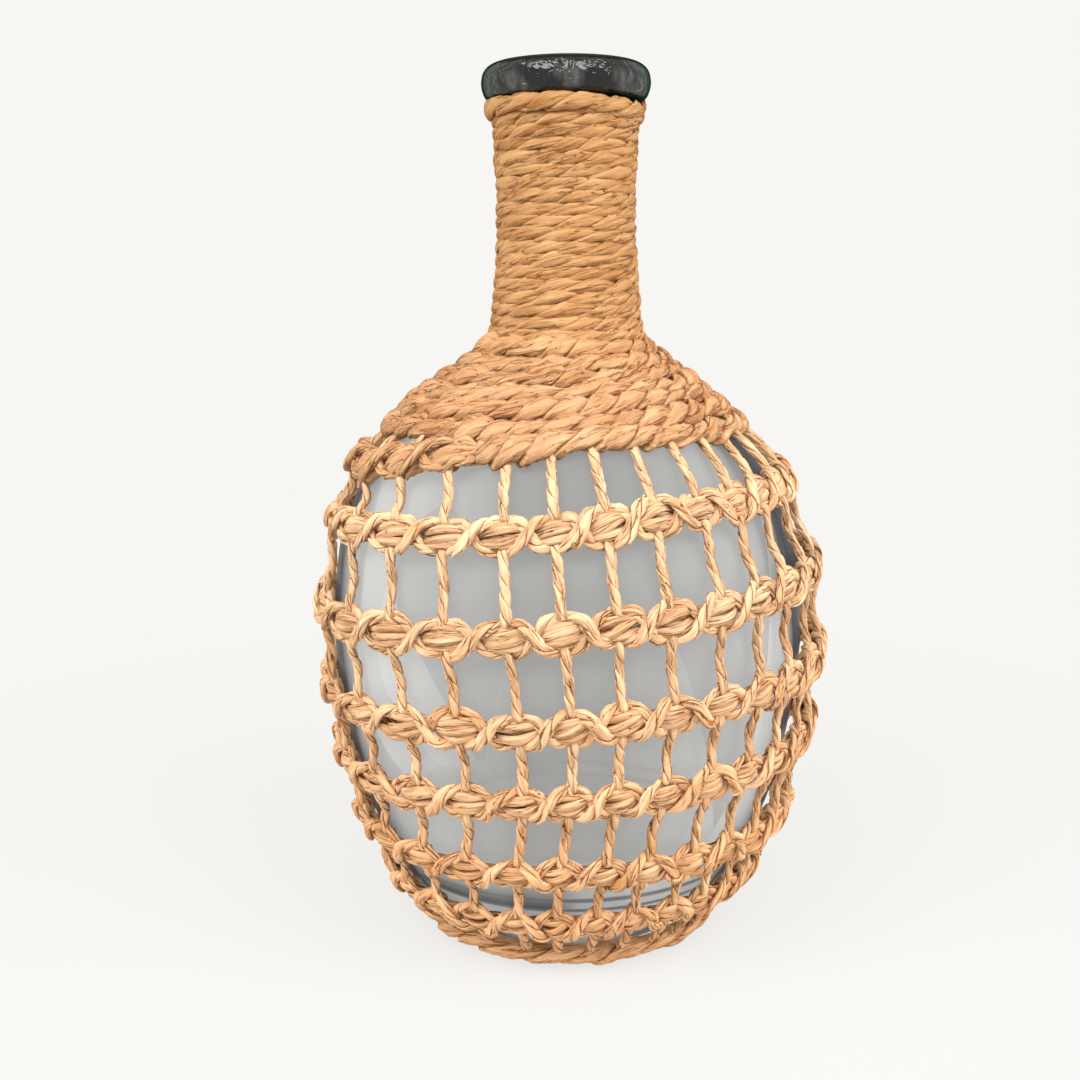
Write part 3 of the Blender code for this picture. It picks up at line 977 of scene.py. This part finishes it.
def makeBand(band):
    # steps count the uprights, and start and end at the back
    random = np.random.RandomState(net["bandSeed"] + band)
    posts = postAngles(band + 1)
    count = len(posts)
    steps = np.arange(net["seamPost"], net["seamPost"] + count, drawing["stepSize"])
    angle = np.interp(steps, np.arange(2 * count), np.concatenate([posts, posts + math.tau]))
    middle = bandMiddle(band, angle) + wander(steps, *net["bandStray"], random, closed=True)
    eye = np.abs(np.cos(math.pi * steps))
    rock = random.uniform(*core["rock"], count)
    rock = np.interp(steps, np.arange(2 * count), np.concatenate([rock, rock]))
    full = core["pinchShare"] + (1 - core["pinchShare"]) * eye ** core["fullPower"]
    height = core["halfHeight"] * full * rock
    loose = slack(middle, angle)
    # which strand lies on top where the two cross
    over = np.where(random.uniform(0, 1, 2 * count) < lacing["overChance"], 1, -1)
    over = over[steps.astype(int) % count]
    out = loose + core["pinchOut"] + (core["eyeOut"] - core["pinchOut"]) * eye ** core["outPower"]
    rounds = round(count / core["postsPerTurn"])
    meshes = []
    for strand in range(core["strands"]):
        phase = math.tau * strand / core["strands"] + math.tau * steps * rounds / count
        phase = phase + core["sway"] * np.sin(math.tau * steps * core["sways"] / count)
        phase = phase + wander(steps, *core["swayStray"], random, closed=True)
        across = core["acrossShare"] * height * np.sin(phase)
        deep = core["deepShare"] * core["halfDepth"] * full * np.cos(phase)
        spots, normals = skin.place(middle + across, angle, out + deep)
        meshes.append(spinRope(spots, normals, core["strip"], random, closed=True,
                               radius=core["stripShare"] * height, tone=random.uniform(*core["tones"])))
    makePiece(f"band{band + 1}Core", meshes, netPaper, "net_rope", f"band_{band + 1}_core")
    for letter, sign in (("a", 1), ("b", -1)):
        shift, out, radius = laceStrand(steps, sign, lacing["rise"] * rock, loose, over)
        place = middle + shift + wander(steps, *lacing["stray"], random, closed=True)
        spots, normals = skin.place(place, angle, out)
        mesh = spinRope(spots, normals, lacing["rope"], random, closed=True,
                        radius=radius, tone=random.uniform(*lacing["tones"]))
        makePiece(f"band{band + 1}Lacing{letter.upper()}", [mesh], netPaper, "net_rope",
                  f"band_{band + 1}_lacing_{letter}")


def makeUprights():
    bands = len(net["heightShares"])
    routes = np.column_stack([postAngles(stop) for stop in range(bands + 2)])
    for number, posts in enumerate(routes):
        random = np.random.RandomState(upright["seed"] + number)
        crossed = [float(bandMiddle(band, posts[band + 1])) for band in range(bands)]
        carrier = shoulderRows["count"] - 1
        if number < shoulderRows["eyes"]:
            # these cross the last row as they do a band, and hang from the row above it
            crossed.insert(0, skin.nearest(*rowLane.spot(rowMiddle(carrier, posts[0]), posts[0])))
            posts = np.insert(posts, 0, posts[0])
            carrier -= 1
        head = skin.nearest(*rowLane.spot(rowMiddle(carrier, posts[0]), posts[0]))
        foot = skin.nearest(*ringLane.spot(ringLength, posts[-1]))
        stops = [head + upright["headGap"]] + crossed + [foot + upright["footGap"]]
        knots, outs = [stops[0]], [upright["headOut"]]
        for place, middle in enumerate(crossed):
            if place:
                knots.append((knots[-1] + middle + lacing["rise"]) / 2)
                outs.append(upright["restOut"])
            for share, out in upright["crossing"]:
                knots.append(middle + share * lacing["rise"])
                outs.append(upright[out])
        knots.append(stops[-1])
        outs.append(upright["footOut"])
        length = np.linspace(knots[0], knots[-1], upright["samples"])
        out = easing(-length, [-knot for knot in knots], outs)
        angle = smoothed(np.interp(-length, [-stop for stop in stops], posts), upright["angleReach"])
        angle = angle + wander(length, *upright["angleStray"], random)
        spots, normals = skin.place(length, angle, out + slack(length, angle))
        mesh = spinRope(spots, normals, upright["rope"], random,
                        tone=random.uniform(*upright["tones"]), taper=upright["taper"])
        makePiece(f"upright{number + 1:02d}", [mesh], netPaper, "net_rope", f"warp_{number + 1:02d}")


baseRing = {
    "seed": 300,
    "lane": 0.0050,
    "height": 0.0064,
    "stray": (0.3, 0.0004),
    "rope": {"kind": "2ply", "radius": 0.0047, "lay": 0.034, "swell": 0.16, "slip": 0.8, "leaf": 0.10,
             "ridge": 0.08, "flat": 0.92, "tall": 1.15, "fibreTurn": 0.7},
}
ringLane = Lane(baseRing["lane"])
ringLength = ringLane.lengthAt(baseRing["height"])


def makeBaseRing():
    random = np.random.RandomState(baseRing["seed"])
    angle = np.linspace(math.pi, 3 * math.pi, drawing["roundSamples"], endpoint=False)
    length = ringLength + wander(angle, *baseRing["stray"], random, closed=True)
    spots, normals = ringLane.place(length, angle)
    mesh = spinRope(spots, normals, baseRing["rope"], random, closed=True)
    makePiece("baseRing", [mesh], ringPaper, "neck_rope", "base_ring")


def rowLacings(posts, turn, middle, random):
    # two strands that cross over the last row at the front left, tucked in at their ends
    rows = shoulderRows
    eyes = rows["eyes"]
    steps = np.arange(-0.5, eyes - 0.5, drawing["stepSize"])
    angle = np.interp(steps, np.arange(-1, len(posts) - 1), posts)
    place, _ = rowLane.place(np.interp(angle, turn, middle), angle)
    reach = np.hypot(place[:, 0], place[:, 1])
    length = np.array([skin.nearest(*pair) for pair in zip(reach, place[:, 2])])
    tuck = np.clip(np.minimum(steps + 0.5, eyes - 0.5 - steps) / rows["eyeTuck"], 0, 1)
    meshes = []
    for sign in (1, -1):
        shift, out, radius = laceStrand(steps, sign, rows["eyeRise"], rows["eyeOut"], 1)
        out = out * tuck + rows["tuckOut"] * (1 - tuck)
        spots, normals = skin.place(length + shift, angle, out)
        meshes.append(spinRope(spots, normals, lacing["rope"], random, radius=radius,
                               tone=rows["eyeTone"], taper=rows["taper"]))
    return meshes


def makeShoulderRows():
    rows = shoulderRows
    posts = postAngles(0)
    posts = np.concatenate([[posts[-1] - math.tau], posts])
    last = rows["count"] - 1
    turn = np.linspace(-math.pi, math.pi, drawing["roundSamples"], endpoint=False)
    step = np.interp(turn, posts, np.arange(-1, len(posts) - 1))
    laced = (step > -0.5) & (step < rows["eyes"] - 0.5)
    for row in range(last + 1):
        random = np.random.RandomState(rows["seed"] + row)
        # the rows lie further apart on the side that hangs lower, and are as much thicker there
        girth = rows["rope"]["radius"] * rows["girths"][row]
        girth = girth * (1 - rows["spread"] * np.sin(turn))
        inEye = np.where(laced & (row == last), np.cos(math.pi * step) ** 2, 0.0)
        girth *= np.where(inEye > 0, rows["eyePinch"] + rows["eyeSwell"] * inEye, 1.0)
        stray = rows["lastStray"] if row == last else rows["stray"]
        middle = rowMiddle(row, turn) + wander(turn, *stray, random, closed=True)
        out = wander(turn, *rows["depthStray"], random, closed=True) - rows["sinks"][row]
        out += rows["eyeBulge"] * inEye
        spots, normals = rowLane.place(middle, turn, out)
        meshes = [spinRope(spots, normals, rows["rope"], random, closed=True,
                           radius=girth, tone=random.uniform(*rows["tones"]))]
        if row == last:
            meshes += rowLacings(posts, turn, middle, random)
        makePiece(f"shoulderRow{row + 1}", meshes, rowPaper, "neck_rope", f"shoulder_row_{row + 1}")


for band in range(len(net["heightShares"])):
    makeBand(band)
print("bands laced")
makeShoulderRows()
print("shoulder wound")
makeUprights()
print("uprights hung")
makeBaseRing()
print("base ring laid")


# Stage, light and camera

studio = {
    "paper": (0.930, 0.922, 0.896),
    "floor": (0.64, 0.636, 0.627),
    "floorSize": 4.0,
    "worldTint": (1.0, 0.99, 0.97),
    "worldLight": 0.50,
    # how plain the floor is, from near the object to far off
    "clearing": (0.16, 0.55, 0.80, 1.0),
    "eye": (-0.012, -0.590, 0.282),
    "tilt": 10.6,
    "roll": -0.35,
    "lens": 45.0,
    "sensor": 36.0,
    # place, target, width, height, power, and whether gloss shows it
    "lamps": {
        "leftPanel": ((-1.07, -0.50, 0.73), (0, 0, 0.16), 0.45, 1.0, 6.5, False),
        "rightPanel": ((1.09, -0.44, 0.65), (0, 0, 0.16), 0.45, 1.0, 8.5, False),
        "frontPanel": ((-0.15, -1.20, 1.25), (0, 0, 0.18), 1.0, 1.0, 5.0, False),
        "topPanel": ((0.0, 0.1, 1.5), (0, 0, 0.2), 0.8, 0.8, 1.6, True),
        "leftSpot": ((-0.52, -0.70, 1.05), (0, 0, 0.35), 0.60, 0.44, 7.6, True),
        "rightSpot": ((0.50, -0.70, 1.05), (0, 0, 0.35), 0.60, 0.44, 7.6, True),
    },
}


def seenRays(paint):
    # rays that see the plain background: the camera's, and those off gloss and through glass
    camera = paint.node("LightPath", output="Is Camera Ray")
    gloss = paint.node("LightPath", output="Is Glossy Ray")
    return camera.most(gloss).most(paint.node("LightPath", output="Is Transmission Ray"))


def makeFloor():
    # near the object the floor keeps its shadow, and further off it is the plain background
    paint = Finish("paleFloor")
    far = paint.node("VectorMath", {"operation": "LENGTH"}, {0: paint.place()}, 1)
    share = seenRays(paint) * paint.ramp(far, *studio["clearing"])
    lit = paint.node("BsdfDiffuse", None, {0: (*studio["floor"], 1.0)})
    plain = paint.node("Emission", None, {0: (*studio["paper"], 1.0), 1: 1.0})
    finish = paint.close(paint.node("MixShader", None, {0: share, 1: lit, 2: plain}))
    build = bmesh.new()
    bmesh.ops.create_grid(build, x_segments=2, y_segments=2, size=studio["floorSize"])
    mesh = meshFrom(build, "studioFloor")
    mesh.materials.append(finish)
    placeThing("studioFloor", mesh)


def makeWorld():
    paint = Finish()
    soft = paint.node("Background", None, {0: (*studio["worldTint"], 1.0), 1: studio["worldLight"]})
    plain = paint.node("Background", None, {0: (*studio["paper"], 1.0), 1: 1.0})
    shown = paint.node("MixShader", None, {0: seenRays(paint), 1: soft, 2: plain})
    paint.close(shown, "OutputWorld")


def makeLamps():
    for name, (place, target, width, height, power, shown) in studio["lamps"].items():
        lamp = bpy.data.lights.new(name, "AREA")
        lamp.shape = "RECTANGLE"
        lamp.size = width
        lamp.size_y = height
        lamp.energy = power
        thing = placeThing(name, lamp)
        thing.location = place
        thing.rotation_euler = (Vector(target) - Vector(place)).to_track_quat("-Z", "Y").to_euler()
        thing.visible_glossy = shown


def makeCamera():
    camera = bpy.data.cameras.new("camera")
    camera.lens = studio["lens"]
    camera.sensor_width = studio["sensor"]
    thing = placeThing("camera", camera)
    thing.location = studio["eye"]
    aim = Euler((math.radians(90 - studio["tilt"]), 0, 0)).to_matrix()
    thing.rotation_euler = (aim @ Matrix.Rotation(math.radians(studio["roll"]), 3, "Z")).to_euler()
    bpy.context.scene.camera = thing


makeFloor()
makeWorld()
makeLamps()
makeCamera()
bpy.context.scene.view_settings.view_transform = "Standard"
print("stage set")
